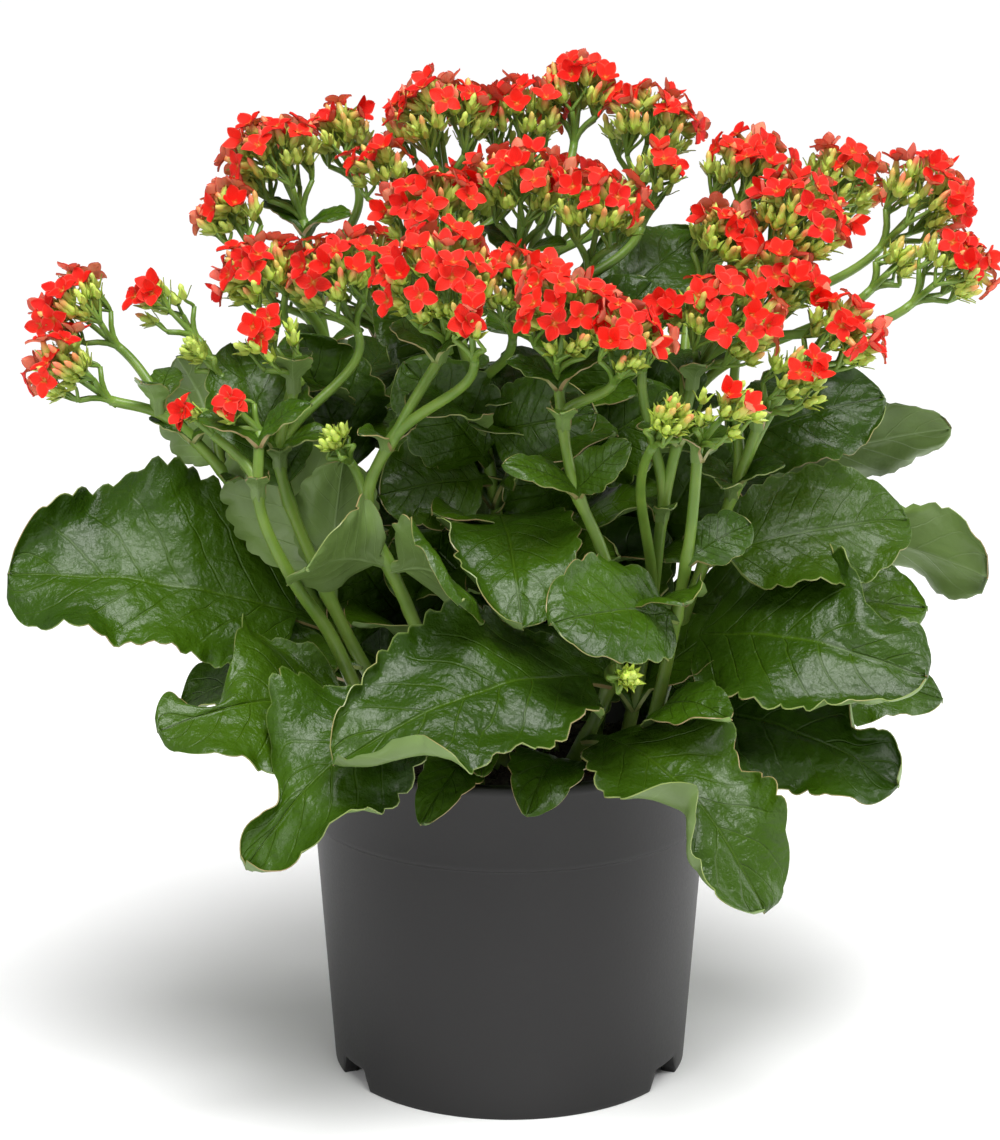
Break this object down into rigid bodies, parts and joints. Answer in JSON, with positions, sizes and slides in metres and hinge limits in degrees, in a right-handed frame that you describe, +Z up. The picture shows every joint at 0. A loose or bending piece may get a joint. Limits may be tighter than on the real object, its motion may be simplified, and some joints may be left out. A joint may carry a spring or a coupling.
{
  "type": "potted kalanchoe",
  "caption": "Flowering potted plant: thick leafy stems with broad wavy leaves and domed heads of small four-petalled red flowers, in a round tapered nursery pot.",
  "frame": {"origin": "middle of the pot's foot, on the surface that it stands on", "axes": "+Z up along the pot's axis, the plant's front faces -Y, +X to the right seen from the front"},
  "size_m": [0.361, 0.2578, 0.3785],
  "materials": {
    "pot": "satin",
    "soil": "matte",
    "leaf": "satin",
    "petal": "satin"
  },
  "bodies": {
    "root": {"pot": "pot", "soil": "soil", "leafy_stem_front_left": "leaf", "leafy_stem_left": "leaf", "leafy_stem_left_inner": "leaf", "leafy_stem_left_back": "leaf", "leafy_stem_front_inner": "leaf", "leafy_stem_front": "leaf", "leafy_stem_inner_back": "leaf", "leafy_stem_centre": "leaf", "leafy_stem_high": "leaf", "leafy_stem_right_inner": "leaf", "leafy_stem_right_front": "leaf", "leafy_stem_right": "leaf", "leafy_stem_right_back": "leaf", "leafy_stem_rear_left": "leaf", "leafy_stem_rear_right": "leaf", "flowers_low_left": "petal", "flowers_low_left_side": "petal", "flowers_far_left_low": "petal", "flowers_far_left_high": "petal", "flowers_left_side": "petal", "flowers_left_front": "petal", "flowers_left_middle": "petal", "flowers_left_upper": "petal", "flowers_high_left": "petal", "flowers_high_left_inner": "petal", "flowers_left_outer": "petal", "flowers_front_large": "petal", "flowers_front_small": "petal", "flowers_front_right": "petal", "flowers_front_right_side": "petal", "flowers_high_centre_left": "petal", "flowers_high_centre": "petal", "flowers_inner_small": "petal", "flowers_centre_upper": "petal", "flowers_centre_low": "petal", "flowers_centre_right": "petal", "flowers_centre_right_side": "petal", "flowers_high_right_left": "petal", "flowers_high_right": "petal", "flowers_high_right_low": "petal", "flowers_right_front": "petal", "flowers_right_small": "petal", "flowers_right_upper": "petal", "flowers_front_low_right": "petal", "flowers_right_low": "petal", "flowers_right_middle": "petal", "flowers_right_middle_side": "petal", "flowers_right_high": "petal", "flowers_right_high_front": "petal", "flowers_right_high_back": "petal", "flowers_far_right_high": "petal", "flowers_far_right_low": "petal", "flowers_rear_left": "petal", "flowers_rear_left_side": "petal", "flowers_rear_middle": "petal", "flowers_rear_right": "petal", "flowers_rear_right_side": "petal", "flowers_rear_inner": "petal"}
  },
  "joints": []
}
